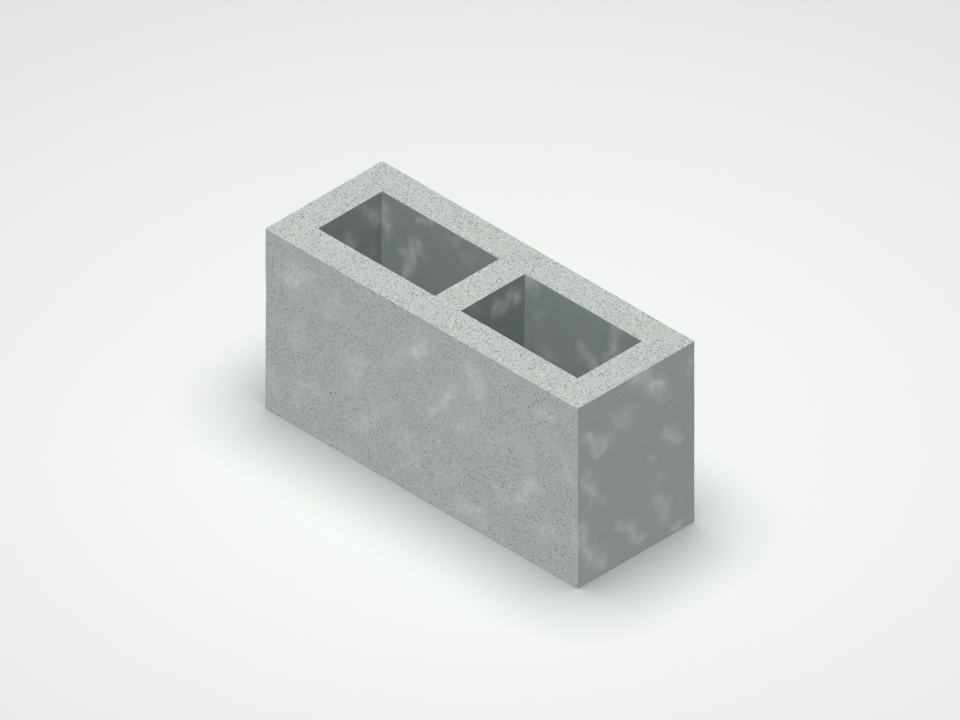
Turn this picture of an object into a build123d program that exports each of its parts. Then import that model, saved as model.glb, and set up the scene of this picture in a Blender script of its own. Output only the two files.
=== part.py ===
"""Hollow concrete masonry block with two cells, cast in one piece.

It stands as it is laid in a wall: cells upright, the thick ends of its walls at the top.
Millimetres, +X along the block, +Y across it, +Z up, origin in the middle of the bottom bed.
"""

import os
from math import atan2, degrees

from build123d import *

# The whole block
BLOCK_LENGTH = 400
BLOCK_WIDTH = 150
BLOCK_HEIGHT = 200

# Walls round the cells, measured at the top bed, where they are thickest
FACE_SHELL = 34
END_WEB = 34
CENTRE_WEB = 33.5
CELL_COUNT = 2

# The cores that leave the cells are drafted, so that they pull out of the fresh concrete
CORE_DRAFT = 2  # how far each wall of a cell leans out between the top bed and the bottom bed
CELL_CORNER_RADIUS = 1  # upright corners of a cell, at the top bed

# Edges softened by the mould and by handling
ARRIS_RADIUS = 0.7
MOUTH_RADIUS = 0.7


def cell_size():
    """Length and width of one cell at the top bed: what the webs and shells leave free."""
    webs = 2 * END_WEB + (CELL_COUNT - 1) * CENTRE_WEB
    return (BLOCK_LENGTH - webs) / CELL_COUNT, BLOCK_WIDTH - 2 * FACE_SHELL


def core():
    """One tapered core standing on the bottom bed, widest at its foot."""
    length, width = cell_size()
    foot = RectangleRounded(
        length + 2 * CORE_DRAFT,
        width + 2 * CORE_DRAFT,
        CELL_CORNER_RADIUS + CORE_DRAFT,
    )
    return extrude(foot, BLOCK_HEIGHT, taper=degrees(atan2(CORE_DRAFT, BLOCK_HEIGHT)))


def concrete_block():
    """The block: a box with its arrises rounded, its cells cored and their mouths rounded."""
    block = Box(
        BLOCK_LENGTH,
        BLOCK_WIDTH,
        BLOCK_HEIGHT,
        align=(Align.CENTER, Align.CENTER, Align.MIN),
    )
    block = fillet(block.edges(), ARRIS_RADIUS)

    pitch = cell_size()[0] + CENTRE_WEB
    for place in GridLocations(pitch, 0, CELL_COUNT, 1):
        block -= place * core()

    levels = block.faces().filter_by(Axis.Z).sort_by(Axis.Z)
    mouths = [rim for bed in (levels[0], levels[-1]) for rim in bed.inner_wires()]
    block = fillet([edge for rim in mouths for edge in rim.edges()], MOUTH_RADIUS)

    block.label = "concrete_block"
    return block


os.makedirs("parts", exist_ok=True)
export_step(concrete_block(), "parts/concrete_block.step")
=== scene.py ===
"""Looks of the hollow concrete block: its worn casting, its finish, and the stage that shows it."""

from math import cos, pi, radians, sin, tau

import bpy
import numpy as np
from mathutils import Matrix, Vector


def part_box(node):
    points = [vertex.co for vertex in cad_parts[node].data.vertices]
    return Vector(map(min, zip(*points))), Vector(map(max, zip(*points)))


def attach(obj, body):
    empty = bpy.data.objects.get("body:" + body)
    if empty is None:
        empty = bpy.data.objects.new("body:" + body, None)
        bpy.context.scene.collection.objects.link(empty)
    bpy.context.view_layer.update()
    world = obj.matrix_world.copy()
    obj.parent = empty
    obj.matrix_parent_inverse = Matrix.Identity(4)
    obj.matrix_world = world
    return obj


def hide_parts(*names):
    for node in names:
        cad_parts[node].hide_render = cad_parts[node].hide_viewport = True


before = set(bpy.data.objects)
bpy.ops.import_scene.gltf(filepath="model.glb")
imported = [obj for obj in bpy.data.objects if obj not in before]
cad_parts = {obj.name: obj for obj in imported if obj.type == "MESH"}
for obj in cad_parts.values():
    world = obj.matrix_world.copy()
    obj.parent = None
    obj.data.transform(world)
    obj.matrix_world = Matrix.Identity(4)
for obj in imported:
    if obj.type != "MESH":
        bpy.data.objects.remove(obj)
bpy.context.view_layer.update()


# The form. The block is one casting of dry concrete: the steel mould gives its faces and ends, and
# two drafted cores leave its cells. Every arris comes out of the mould slightly rounded and ragged.
FACE_SHELL = 0.034
END_WEB = 0.034
CENTRE_WEB = 0.0335
CORE_DRAFT = 0.002
CELL_CORNER = 0.001
ARRIS = 0.0006

low, high = (np.array(corner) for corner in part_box("concrete_block"))
length, width, height = high - low
half_cell = width / 2 - FACE_SHELL

# The mesh: how far apart its lines run, the closer lines on each side of an edge, and the distance under
# which two points are one
GRID_PACE = 0.0025
CELL_GRID_PACE = 0.0036
EDGE_LINES = np.array([0.0002, 0.00045, 0.0008, 0.0014])
WELD = 1e-7


def grid_lines(stops, steps):
    """Grid lines along one axis: every stop, the edge lines on each side of it, and even steps
    between."""
    near, far = EDGE_LINES[:-1], EDGE_LINES[-1]
    spans = [
        np.concatenate(([a], a + near, np.linspace(a + far, b - far, n), (b - near)[::-1]))
        for a, b, n in zip(stops, stops[1:], steps)
    ]
    return np.concatenate((*spans, stops[-1:]))


def stops_along(draft):
    """Ends of the block and of its cells along X, with each wall of a cell leaned out by the draft."""
    web, end = CENTRE_WEB / 2 - draft, length / 2 - END_WEB + draft
    return np.array([-length / 2, -end, -web, web, end, length / 2])


def stops_across(draft):
    """Sides of the block and of its cells along Y, with each wall of a cell leaned out by the draft."""
    side = half_cell + draft
    return np.array([-width / 2, -side, side, width / 2])


def leaning_lines(stops_at):
    """Grid lines that lean with the cores: at any height each lies in proportion between its foot and
    its top. With them come the numbers of the lines that are stops."""
    steps = np.round(np.diff(stops_at(0)) / GRID_PACE).astype(int)
    top, foot = grid_lines(stops_at(0), steps), grid_lines(stops_at(CORE_DRAFT), steps)

    def lines_at(level):
        """Where each line is at this height."""
        return foot[:, None] + (top - foot)[:, None] * level / height

    return lines_at, np.flatnonzero(np.isin(top, stops_at(0)))


def upright_lines(pace):
    """Grid lines up the height of the block."""
    return grid_lines(np.array([0, height]), [round(height / pace)])


def grid(along, across, up):
    """Points of a two-way grid, from coordinates that broadcast against each other."""
    return np.stack(np.broadcast_arrays(along, across, up), -1).astype(float)


def squares(surface, flip):
    """Corner numbers of each square of a grid. They face along first way x second way, or back if
    flipped."""
    number = np.arange(surface[..., 0].size).reshape(surface.shape[:2])
    corners = np.stack([number[:-1, :-1], number[1:, :-1], number[1:, 1:], number[:-1, 1:]], -1)
    return corners[..., ::-1] if flip else corners


points, faces = [], []


def lay(surface, flip, keep=...):
    """Adds a wall or bed to the skin: its grid of points, and the squares of it that are kept."""
    faces.append(squares(surface, flip)[keep].reshape(-1, 4) + sum(map(len, points)))
    points.append(surface.reshape(-1, 3))


x_lines, x_marks = leaning_lines(stops_along)
y_lines, y_marks = leaning_lines(stops_across)
z_skin, z_cell = upright_lines(GRID_PACE), upright_lines(CELL_GRID_PACE)
cell_spans = ((x_marks[1], x_marks[2]), (x_marks[3], x_marks[4]))
side_span = (y_marks[1], y_marks[2])

for side in (-1, 1):
    lay(grid(x_lines(z_skin), side * width / 2, z_skin), side > 0)
    lay(grid(side * length / 2, y_lines(z_skin), z_skin), side < 0)
for level in (0, height):
    bed = grid(x_lines(level), y_lines(level).T, level)
    solid = np.ones(np.array(bed.shape[:2]) - 1, bool)
    for span in cell_spans:
        solid[slice(*span), slice(*side_span)] = False
    lay(bed, level == 0, solid)
for first, last in cell_spans:
    for row, flip in zip(side_span, (True, False)):
        lay(grid(x_lines(z_cell)[first : last + 1], y_lines(z_cell)[row], z_cell), flip)
    for column, flip in ((first, False), (last, True)):
        side_lines = y_lines(z_cell)[side_span[0] : side_span[1] + 1]
        lay(grid(x_lines(z_cell)[column], side_lines, z_cell), flip)

# Points that no square uses go, and points that walls share are welded into one
points, faces = np.concatenate(points), np.concatenate(faces)
used, faces = np.unique(faces, return_inverse=True)
points, faces = points[used], faces.reshape(-1, 4)
keys = np.round(points / WELD).astype(np.int64)
first_use, number = np.unique(keys, axis=0, return_index=True, return_inverse=True)[1:]
sharp, faces = points[first_use], number.reshape(-1)[faces]
x, y, z = sharp.T
lean = CORE_DRAFT * (1 - z / height)
cells_along = (stops_along(0)[1:3], stops_along(0)[3:5])


def unit(vectors):
    """The vectors at a length of 1. One that has no length is left as it is."""
    size = np.linalg.norm(vectors, axis=1, keepdims=True)
    return vectors / np.where(size > 0, size, 1)


# A random field: how many waves make it up, and how their paces spread about the one asked for
WAVES = 32
WAVE_SPREAD = (0.7, 1.4)


def rough(places, size, seed):
    """Smooth random field with a spread of 1: a sum of cosine waves, about that size long, in random
    directions."""
    rng = np.random.default_rng(seed)
    ways = unit(rng.normal(size=(WAVES, 3)))
    pace = tau / size * rng.uniform(*WAVE_SPREAD, (WAVES, 1))
    return np.cos(places @ (pace * ways).T + rng.uniform(0, tau, WAVES)).sum(1) * (2 / WAVES) ** 0.5


def round_arrises(places, radius):
    """Rounds the outer arrises: a point on the box keeps its nearest point of the box shrunk by the
    radius, and moves onto the ball of that radius about it."""
    middle, half = np.array([0, 0, height / 2]), (high - low) / 2
    place, radius = places - middle, radius[:, None]
    on_box = (np.abs(np.abs(place) - half) < WELD).any(1)
    nearest = np.clip(place, -half + radius, half - radius)
    rounded = middle + nearest + radius * unit(place - nearest)
    return np.where(on_box[:, None], rounded, places)


def round_cells(places, radius):
    """Rounds the cells: in plan each is a rectangle with round corners, and at its mouths the walls
    turn into the beds along a quarter circle, whose middle lies one radius out from the wall and one
    radius in from the bed."""
    places, radius = places.copy(), radius[:, None]
    lean = CORE_DRAFT * (1 - places[:, 2:] / height)
    corner = CELL_CORNER + lean
    for first, last in cells_along:
        half = np.array([(last - first) / 2, half_cell]) + lean
        place = places[:, :2] - [(first + last) / 2, 0]
        reach = np.maximum(np.abs(place) - half + corner, 0)
        away = np.maximum(np.linalg.norm(reach, axis=1, keepdims=True), WELD)
        beside = (reach > 0).any(1, keepdims=True)
        inside = (np.abs(place) < half + WELD).all(1, keepdims=True)
        gap = np.where(inside, 0, away - corner)
        depth = np.minimum(places[:, 2:], height - places[:, 2:])
        spoke = np.hstack([gap, depth]) - radius
        turning = beside & (spoke < 0).all(1, keepdims=True)
        shift = np.where(turning, radius * unit(spoke) - spoke, 0)
        shift[:, :1] += np.where(inside & beside, corner - away, 0)
        places[:, :2] += np.sign(place) * reach / away * shift[:, :1]
        places[:, 2:] += np.where(places[:, 2:] > height / 2, -1, 1) * shift[:, 1:]
    return places


def normals_of(places):
    """Unit normals at the points: the sum of the normals of the squares round each."""
    a, b, c, d = (places[faces[:, k]] for k in range(4))
    of_corners = np.repeat(np.cross(c - a, d - b), 4, axis=0)
    return unit(np.stack([np.bincount(faces.ravel(), part, len(places)) for part in of_corners.T], 1))


def put(name, data):
    """A new object in the scene, with this mesh, lamp or camera."""
    thing = bpy.data.objects.new(name, data)
    bpy.context.scene.collection.objects.link(thing)
    return thing


# Wear of the arrises: raggedness all along them, and chips where the wave stands out of its usual range.
# The pallet that the block is cast on leaves its foot crisper than the rest.
RAGGED = 0.0002
RAGGED_SIZE = 0.009
CHIP = 0.0006
CHIP_SIZE = 0.03
CHIP_RARITY = 1.6
FOOT_CRISPNESS = 0.35
FOOT_RISE = 0.012
raggedness = RAGGED * np.abs(rough(sharp, RAGGED_SIZE, seed=1))
chips = CHIP * np.clip(rough(sharp, CHIP_SIZE, seed=2) - CHIP_RARITY, 0, 1)
radius = (ARRIS + raggedness + chips) * np.clip(z / FOOT_RISE, FOOT_CRISPNESS, 1)
smooth = round_cells(round_arrises(sharp, radius), radius)

# How the surface dips below the mould's planes: (wave size, mean depth, seed) of each kind of
# unevenness, which goes from nothing to twice its mean depth
DIPS = ((0.09, 0.00012, 10), (0.022, 0.00004, 11), (0.007, 0.000015, 12))
dip = sum(mean * np.clip(1 + rough(sharp, size, seed) / 2, 0, 2) for size, mean, seed in DIPS)
normals = normals_of(smooth)
surface = smooth - normals * dip[:, None]

mesh = bpy.data.meshes.new("concrete_block_casting")
mesh.from_pydata(surface + [0, 0, low[2]], [], faces)
mesh.polygons.foreach_set("use_smooth", np.ones(len(faces), bool))
block = put("concrete_block_casting", mesh)
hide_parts("concrete_block")
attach(block, "root")


# The skin. The tamper head leaves the top bed open and gritty, the mould's steel drags the faces
# smoother, and the cores close the walls of the cells. Lime has bloomed pale on the upright faces, and a
# pale line is painted along the outer arrises as highlight.
TOP_GRIT = 1.0
FOOT_GRIT = 0.8
FACE_GRIT = 0.63
END_GRIT = 0.08
CELL_GRIT = 0.02

# Each point has the grit of the ends, faces and beds by how much it is turned towards them
on_bed = (z < WELD) | (z > height - WELD)
within_ends = np.abs(x) < length / 2 - END_WEB + CORE_DRAFT + WELD
within_shells = np.abs(y) < half_cell + CORE_DRAFT + WELD
in_cell = within_ends & within_shells & ~on_bed
share = normals**2
bed_grit = np.where(z > height / 2, TOP_GRIT, FOOT_GRIT)
grit = share[:, 0] * END_GRIT + share[:, 1] * FACE_GRIT + share[:, 2] * bed_grit
grit = np.where(in_cell, CELL_GRIT, grit)

# Pale blooms, each a streak in millimetres: from (along, down) to (along, down), half width, strength
FACE_BLOOMS = (
    (32, 40, 46, 28, 9, 0.8), (80, 60, 97, 34, 6, 0.45), (123, 14, 133, 8, 4, 0.35),
    (195, 42, 199, 22, 8, 0.85), (190, 42, 158, 67, 7, 0.4), (262, 30, 272, 44, 10, 0.7),
    (352, 32, 362, 22, 7, 0.5), (246, 52, 208, 106, 6, 0.8), (252, 98, 266, 76, 8, 0.5),
    (288, 94, 303, 84, 7, 0.25), (322, 74, 335, 86, 8, 0.3), (380, 70, 391, 80, 5, 0.55),
    (104, 94, 120, 90, 9, 0.6), (115, 105, 110, 124, 7, 0.45), (36, 108, 42, 92, 8, 0.5),
    (172, 112, 150, 122, 5, 0.3), (145, 127, 118, 160, 6, 0.55), (172, 146, 188, 142, 7, 0.45),
    (195, 158, 180, 175, 6, 0.45), (45, 151, 68, 144, 6, 0.55), (45, 155, 38, 180, 6, 0.35),
    (2, 172, 12, 156, 6, 0.5), (345, 112, 325, 140, 7, 0.85), (300, 142, 312, 144, 7, 0.5),
    (352, 158, 372, 148, 6, 0.55), (245, 140, 232, 168, 5, 0.25), (250, 185, 274, 174, 6, 0.6),
    (272, 190, 282, 190, 6, 0.35), (397, 128, 397, 160, 6, 0.3), (98, 197, 106, 195, 6, 0.35),
)
END_BLOOMS = (
    (80, 2, 104, 26, 9, 0.85), (94, 24, 114, 38, 7, 0.45), (12, 36, 31, 60, 5, 0.8),
    (36, 53, 46, 58, 5, 0.55), (47, 38, 56, 45, 6, 0.5), (62, 38, 70, 50, 5, 0.35),
    (114, 80, 132, 102, 5, 0.8), (92, 103, 97, 108, 4, 0.4), (12, 80, 20, 102, 7, 0.75),
    (22, 105, 36, 118, 5, 0.5), (16, 112, 15, 124, 4, 0.35), (2, 134, 14, 168, 7, 0.8),
    (14, 170, 34, 188, 8, 0.75), (54, 154, 84, 186, 6, 0.7), (95, 146, 116, 174, 7, 0.55),
    (102, 130, 112, 136, 4, 0.25), (122, 195, 132, 196, 5, 0.7), (145, 20, 147, 34, 5, 0.35),
)
CELL_FACE_BLOOMS = (
    (
        (57, 1, 50, 12, 6, 0.8), (2, 26, 6, 28, 8, 0.8), (6, 38, 8, 50, 5, 0.4),
        (82, 11, 97, 4, 6, 0.5), (96, 24, 118, 13, 4, 0.35), (28, 54, 50, 43, 7, 0.9),
        (41, 56, 30, 78, 6, 0.95),
    ),
    (
        (4, 6, 8, 12, 9, 0.9), (122, 4, 112, 24, 5, 0.8), (111, 28, 98, 42, 6, 0.6),
        (74, 44, 78, 58, 7, 0.7), (12, 40, 20, 33, 4, 0.35), (18, 77, 40, 74, 6, 0.4),
    ),
)
CELL_END_BLOOMS = (
    (
        (48, 2, 66, 18, 6, 0.4), (66, 18, 81, 29, 5, 0.62), (38, 28, 48, 38, 6, 0.65),
        (66, 57, 76, 66, 4, 0.35),
    ),
    ((47, 17, 58, 28, 6, 0.9), (64, 14, 75, 23, 6, 0.9), (14, 6, 20, 10, 4, 0.3)),
)
BLOOM_UNIT = 0.001
BLOOM_LINE = 0.8  # the share of a streak's length along which it stays at its palest

# How the blooms of a wall look: their width and strength, as shares of those listed, and how steep
# their rims are
FACE_LIME = (1.25, 0.45, 2.2)
END_LIME = (1.1, 0.52, 2.3)
CELL_FACE_LIME = (1.1, 0.54, 3.5)
CELL_END_LIME = (1.15, 0.82, 3)

# The noise that bends the blooms along a wall and down it: a coarse wave, and a share of a fine one
BLOOM_WARP = 0.0027
COARSE_WARP_SIZE = 0.03
FINE_WARP_SIZE = 0.011
FINE_WARP_SHARE = 0.25
WARP_SEEDS = ((20, 24), (21, 25))
warp = [
    BLOOM_WARP
    * (rough(sharp, COARSE_WARP_SIZE, coarse) + FINE_WARP_SHARE * rough(sharp, FINE_WARP_SIZE, fine))
    for coarse, fine in WARP_SEEDS
]


def bloom(on_wall, along, down, streaks, widen, strengthen, steep):
    """How pale a wall is: each bloom fades as a bell curve with the distance from its line, noise bends
    its outline, and blooms that overlap screen each other."""
    place = np.stack([along + warp[0], down + warp[1]], 1)
    bare = np.ones(len(sharp))
    for *ends, half_width, strength in streaks:
        start, end = np.array(ends).reshape(2, 2) * BLOOM_UNIT
        reach = np.linalg.norm(end - start)
        way = (end - start) / reach
        off = place - (start + end) / 2
        beyond = np.maximum(np.abs(off @ way) - BLOOM_LINE * reach / 2, 0)
        far = np.hypot(beyond, off @ [-way[1], way[0]]) / (widen * half_width * BLOOM_UNIT)
        bare *= 1 - strengthen * strength * np.exp(-(far**steep))
    return np.where(on_wall, 1 - bare, 0)


# A pale line is painted along the outer arrises as highlight, palest where the surface is turned half
# way from one face to the next, and none in the cells
ARRIS_PAINTED_HIGHLIGHT = 0.2
blooms = [np.where(in_cell, 0, ARRIS_PAINTED_HIGHLIGHT * np.clip(2 * (1 - share.max(1)), 0, 1))]

# The walls on the far side of the block have the same blooms, turned half round, and upside down outside
depth = height - z
for turn, down in ((1, depth), (-1, z)):
    along, across = turn * x, turn * y
    on_face = np.abs(across + width / 2) < WELD
    on_end = np.abs(along - length / 2) < WELD
    blooms.append(bloom(on_face, along + length / 2, down, FACE_BLOOMS, *FACE_LIME))
    blooms.append(bloom(on_end, across + width / 2, down, END_BLOOMS, *END_LIME))
    for (start, end), face_streaks, end_streaks in zip(cells_along, CELL_FACE_BLOOMS, CELL_END_BLOOMS):
        between = (along > start - lean - WELD) & (along < end + lean + WELD) & ~on_bed
        on_face = between & (np.abs(across - half_cell - lean) < WELD)
        on_end = between & (np.abs(along - start + lean) < WELD)
        blooms.append(bloom(on_face, along - start, depth, face_streaks, *CELL_FACE_LIME))
        blooms.append(bloom(on_end, across + half_cell, depth, end_streaks, *CELL_END_LIME))
# The lime blooms and the painted highlight of the arrises, the palest at each point; the bloom attribute
# carries both
bloom_and_highlight = np.max(blooms, axis=0)

for name, values in (("grit", grit), ("bloom", bloom_and_highlight)):
    mesh.attributes.new(name, "FLOAT", "POINT").data.foreach_set("value", values.astype(np.float32))


# The finish: grey cement paste with pores darkened as painted shade and paler sand grains where the skin
# is open, soft mottling from the mix, and pale lime with the painted arris highlight. The end and cell
# pastes are darker, partly as painted shade. It is matt all over.
# The paste of each kind of wall. The end and cell pastes are darker than the face paste, partly as
# painted shade of the ends and cells, and the cell paste is tinted greener as painted shade.
PASTE_AND_PAINTED_SHADE_BY_GRIT = (
    (CELL_GRIT, (0.303, 0.342, 0.336, 1)),
    (END_GRIT, (0.345, 0.373, 0.363, 1)),
    (FACE_GRIT, (0.397, 0.422, 0.416, 1)),
    (TOP_GRIT, (0.367, 0.387, 0.371, 1)),
)
LIME_AND_HIGHLIGHT = (0.62, 0.65, 0.635, 1)
ROUGHNESS = 0.92
SPECULAR = 0.2

# Noise: waves to a metre and finer layers over them, then the range that each kind gives. Nearly all
# values of the noise lie within its reach from its middle.
CLOUDS, CLOUD_TONES = (30, 3), (0.985, 1.015)
HUES, HUE_TONES = (45, 2), (0.988, 1.012)
LIME_PATCHES, LIME_STRENGTHS = (110, 3), (0.55, 1.45)
SAND, SAND_TONES = (1000, 1), (0.9, 1.1)
NOISE_MIDDLE = 0.5
NOISE_REACH = 0.2
MOST_NOISE = (NOISE_MIDDLE - NOISE_REACH, NOISE_MIDDLE + NOISE_REACH)

# Specks: how many to a metre and the range of their radii, as shares of their spacing, then the tones
# from round them to their middle. The pores are darkened as painted shade of the pits. They fade out
# over their rims, and the less grit a wall has, the rarer its strong ones are.
PORES, PORE_SHADE_TONES = (950, (0.5, 0.8)), (1, 0)
GRAINS, GRAIN_TONES = (1000, (0.45, 0.75)), (1, 1.7)
SPECK_RIM = (0.5, 1)
RARITY = 4
RARITY_POWER = -1.6

# Relief: how far the sand stands up and the pores go down, as shares of its depth
RELIEF_DEPTH = 0.0006
RELIEF_STRENGTH = 0.5
SAND_RISE = (0, 0.15)
PORE_DROP = (0, -1)


def empty_tree(owner):
    """The shader tree of a material or of the world, without the nodes that it starts with."""
    owner.use_nodes = True
    owner.node_tree.nodes.clear()
    return owner.node_tree


def add(tree, kind, inputs, **options):
    """Adds a shader node with these options, its inputs filled with values or other nodes' outputs."""
    node = tree.nodes.new("ShaderNode" + kind)
    for name, value in options.items():
        setattr(node, name, value)
    for name, value in inputs.items():
        if isinstance(value, bpy.types.NodeSocket):
            tree.links.new(value, node.inputs[name])
        else:
            node.inputs[name].default_value = value
    return node


def calculate(tree, kind, a, b):
    """One operation on two numbers, named as Blender names it."""
    return add(tree, "Math", {0: a, 1: b}, operation=kind).outputs[0]


def spread(tree, value, source, target):
    """A number carried from one range to another, and held inside it."""
    source = {"From Min": source[0], "From Max": source[1]}
    target = {"To Min": target[0], "To Max": target[1]}
    return add(tree, "MapRange", {"Value": value, **source, **target}).outputs["Result"]


def mix(tree, share, first, second):
    """Two colours mixed, with that share of the second. The node's colour sockets go by number, because
    its number and vector sockets have the same names."""
    return add(tree, "Mix", {0: share, 6: first, 7: second}, data_type="RGBA").outputs[2]


def concrete():
    """Cement paste, with pores and grains from two Voronoi patterns and mottling from noise. The pores
    are darkened as painted shade, and the lime carries the painted highlight of the arrises.
    """
    material = bpy.data.materials.new("concrete")
    tree = empty_tree(material)
    place = add(tree, "TexCoord", {}).outputs["Object"]
    grit = add(tree, "Attribute", {}, attribute_name="grit").outputs["Fac"]
    # Lime blooms, with the painted highlight along the arrises
    lime_and_highlight = add(tree, "Attribute", {}, attribute_name="bloom").outputs["Fac"]
    rarity = calculate(tree, "MULTIPLY", RARITY, calculate(tree, "POWER", grit, RARITY_POWER))

    def noise(waves, layers):
        """Smooth noise through the whole block."""
        return add(tree, "TexNoise", {"Vector": place, "Scale": waves, "Detail": layers}).outputs

    def specks(count, radii):
        """Round spots, one in each Voronoi cell, of random size and strength: 1 at the middle, 0
        outside."""
        cells = add(tree, "TexVoronoi", {"Vector": place, "Scale": count}).outputs
        chance = add(tree, "TexWhiteNoise", {"Vector": cells["Color"]}).outputs["Color"]
        chance = add(tree, "SeparateColor", {"Color": chance}).outputs
        radius = spread(tree, chance["Red"], (0, 1), radii)
        spot = spread(tree, calculate(tree, "DIVIDE", cells["Distance"], radius), SPECK_RIM, (1, 0))
        return calculate(tree, "MULTIPLY", spot, calculate(tree, "POWER", chance["Green"], rarity))

    sand = noise(*SAND)["Fac"]
    pores = specks(*PORES)
    grains = specks(*GRAINS)
    open_sand = calculate(tree, "MULTIPLY", calculate(tree, "SUBTRACT", sand, NOISE_MIDDLE), grit)
    tone = spread(tree, noise(*CLOUDS)["Fac"], MOST_NOISE, CLOUD_TONES)
    # The tone: mottling, open sand, pores darkened as painted shade, and pale grains
    for layer in (
        spread(tree, open_sand, (-NOISE_REACH, NOISE_REACH), SAND_TONES),
        spread(tree, pores, (0, 1), PORE_SHADE_TONES),
        spread(tree, grains, (0, 1), GRAIN_TONES),
    ):
        tone = calculate(tree, "MULTIPLY", tone, layer)

    # The paste by grit, with the painted shade of the ends and cells
    paste = add(tree, "ValToRGB", {"Fac": grit})
    for position, _ in PASTE_AND_PAINTED_SHADE_BY_GRIT[1:-1]:
        paste.color_ramp.elements.new(position)
    for stop, (position, colour) in zip(paste.color_ramp.elements, PASTE_AND_PAINTED_SHADE_BY_GRIT):
        stop.position = position
        stop.color = colour

    # The ends of a vector's range go by number too, from 7 on: least and most before, then after
    hue_range = {7 + k: (end,) * 3 for k, end in enumerate(MOST_NOISE + HUE_TONES)}
    hues = {"Vector": noise(*HUES)["Color"], **hue_range}
    hues = add(tree, "MapRange", hues, data_type="FLOAT_VECTOR").outputs["Vector"]
    paste = add(tree, "VectorMath", {0: paste.outputs["Color"], 1: hues}, operation="MULTIPLY")
    paste = add(tree, "VectorMath", {0: paste.outputs[0], "Scale": tone}, operation="SCALE")
    # Pale lime and the painted arris highlight go over the paste, in patches
    patches = spread(tree, noise(*LIME_PATCHES)["Fac"], MOST_NOISE, LIME_STRENGTHS)
    limed_and_highlighted = mix(tree, calculate(tree, "MULTIPLY", lime_and_highlight, patches), paste.outputs[0], LIME_AND_HIGHLIGHT)

    risen = spread(tree, sand, (0, 1), SAND_RISE)
    sunk = spread(tree, pores, (0, 1), PORE_DROP)
    bumps = calculate(tree, "ADD", risen, sunk)
    relief = add(tree, "Bump", {"Height": bumps, "Strength": RELIEF_STRENGTH, "Distance": RELIEF_DEPTH})
    skin = add(
        tree,
        "BsdfPrincipled",
        {
            "Base Color": limed_and_highlighted,
            "Roughness": ROUGHNESS,
            "Specular IOR Level": SPECULAR,
            "Normal": relief.outputs[0],
        },
    )
    add(tree, "OutputMaterial", {"Surface": skin.outputs[0]})
    return material


mesh.materials.append(concrete())


# The stage: a plain pale floor that meets a pale surround. The piece under the block and the piece round
# it share one paint, with a painted contact shadow that makes it greyer close to the block, and the
# piece round it sends no light back up.
FLOOR_REACH = 6.0
FLOOR_GREY = (0.955, 0.98, 0.945, 1)
CONTACT_SHADOW_GREY = (0.605, 0.685, 0.643, 1)
CONTACT_SHADOW_REACH = 0.1
CONTACT_SHADOW_RAYS = 8

floor_paint = bpy.data.materials.new("floor")
tree = empty_tree(floor_paint)
# Painted contact shadow: the floor turns greyer where the block hides it from all round
openness = add(tree, "AmbientOcclusion", {"Distance": CONTACT_SHADOW_REACH}, samples=CONTACT_SHADOW_RAYS).outputs["AO"]
shadowed_paint = mix(tree, openness, CONTACT_SHADOW_GREY, FLOOR_GREY)
add(tree, "OutputMaterial", {"Surface": add(tree, "BsdfDiffuse", {"Color": shadowed_paint}).outputs[0]})

floor_x, floor_y = (np.array([-FLOOR_REACH, *ends, FLOOR_REACH]) for ends in zip(low[:2], high[:2]))
floor_points = grid(floor_x[:, None], floor_y, 0)
under = np.zeros((3, 3), bool)
under[1, 1] = True
for name, kept in (("floor_under", under), ("floor_round", ~under)):
    used, tiles = np.unique(squares(floor_points, False)[kept], return_inverse=True)
    floor_mesh = bpy.data.meshes.new(name)
    floor_mesh.from_pydata(floor_points.reshape(-1, 3)[used], [], tiles.reshape(-1, 4))
    floor_mesh.materials.append(floor_paint)
    floor = put(name, floor_mesh)
    floor.visible_diffuse = name == "floor_under"


# The light: a broad round lamp overhead, which grounds the block in its own soft shadow, a key lamp in
# front that falls on the block alone, and an even glow from all round, which is stronger from below, in
# place of the light that a floor sends back.
OVERHEAD = Vector((-0.02, 0.045, 2.0))
OVERHEAD_WIDTH = 1.376
OVERHEAD_LIGHT = 0.73  # how bright a white floor right under the lamp would look
KEY = Vector((0.121, -0.313, 0.40))  # how bright a white face along each axis would look in it
KEY_SOFTNESS = radians(20)
GLOW = 0.22
FLOOR_GLOW = 0.85
SEEN_GLOW = 0.9  # what the camera and anything glossy or clear would show
HORIZON = (-0.1, 0.1)  # the rise over which the glow from below gives way to the rest

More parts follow.
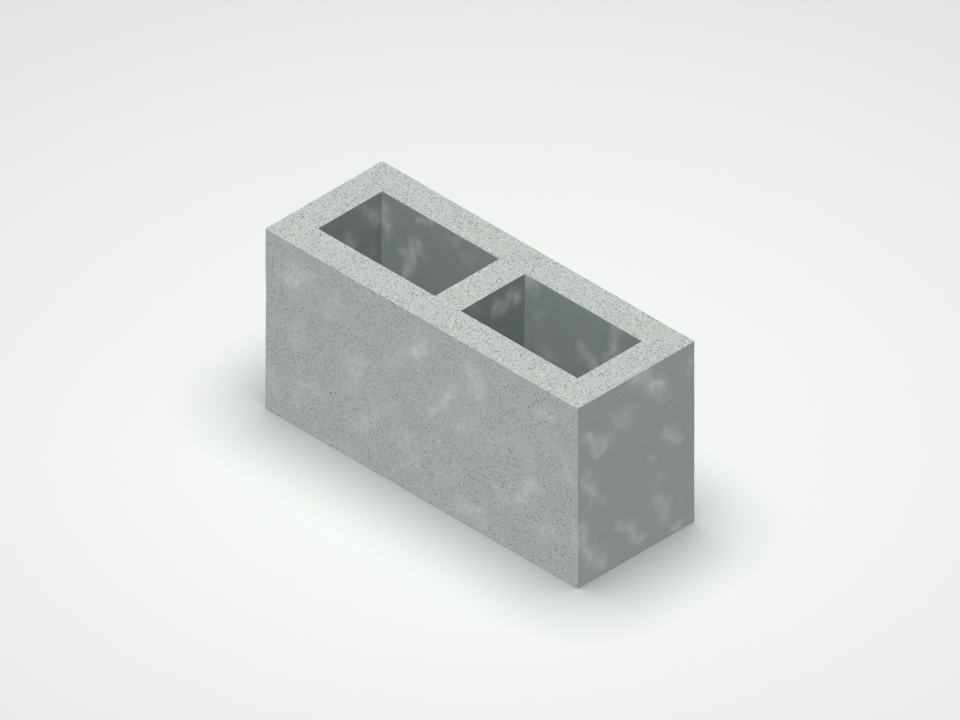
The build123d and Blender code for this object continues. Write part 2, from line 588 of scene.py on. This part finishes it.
overhead = bpy.data.lights.new("overhead", "AREA")
overhead.shape = "DISK"
overhead.size = OVERHEAD_WIDTH
overhead.energy = OVERHEAD_LIGHT * pi**2 * (OVERHEAD.z**2 + OVERHEAD_WIDTH**2 / 4)
put("overhead", overhead).location = OVERHEAD

key = bpy.data.lights.new("key", "SUN")
key.energy = pi * KEY.length
key.angle = KEY_SOFTNESS
key_lamp = put("key", key)
key_lamp.rotation_mode = "QUATERNION"
key_lamp.rotation_quaternion = KEY.to_track_quat("Z", "Y")
key_lit = bpy.data.collections.new("key_lit")
key_lit.objects.link(block)
key_lamp.light_linking.receiver_collection = key_lit

world = bpy.data.worlds.new("surround")
bpy.context.scene.world = world
tree = empty_tree(world)
way = add(tree, "TexCoord", {}).outputs["Generated"]
rise = add(tree, "SeparateXYZ", {0: way}).outputs["Z"]
glow = spread(tree, rise, HORIZON, (FLOOR_GLOW, GLOW))
rays = add(tree, "LightPath", {}).outputs
seen = calculate(tree, "MAXIMUM", rays["Is Glossy Ray"], rays["Is Transmission Ray"])
seen = calculate(tree, "MAXIMUM", rays["Is Camera Ray"], seen)
glow = spread(tree, seen, (0, 1), (glow, SEEN_GLOW))
shine = add(tree, "Background", {"Color": (1, 1, 1, 1), "Strength": glow}).outputs[0]
add(tree, "OutputWorld", {"Surface": shine})
bpy.context.scene.view_settings.view_transform = "Standard"


# The camera: a true isometric view, without perspective, from the front right. It looks past the middle
# of the block, a little above it.
AZIMUTH = radians(45)
ELEVATION = radians(35.264)
FRAME_WIDTH = 0.8688
RAISED = 0.0133
DISTANCE = 2.0

view = bpy.data.cameras.new("camera")
view.type = "ORTHO"
view.ortho_scale = FRAME_WIDTH
camera = put("camera", view)
back = Vector((sin(AZIMUTH) * cos(ELEVATION), -cos(AZIMUTH) * cos(ELEVATION), sin(ELEVATION)))
camera.rotation_mode = "QUATERNION"
camera.rotation_quaternion = back.to_track_quat("Z", "Y")
up = camera.rotation_quaternion @ Vector((0, 1, 0))
camera.location = Vector((low + high) / 2) + back * DISTANCE + up * RAISED
bpy.context.scene.camera = camera
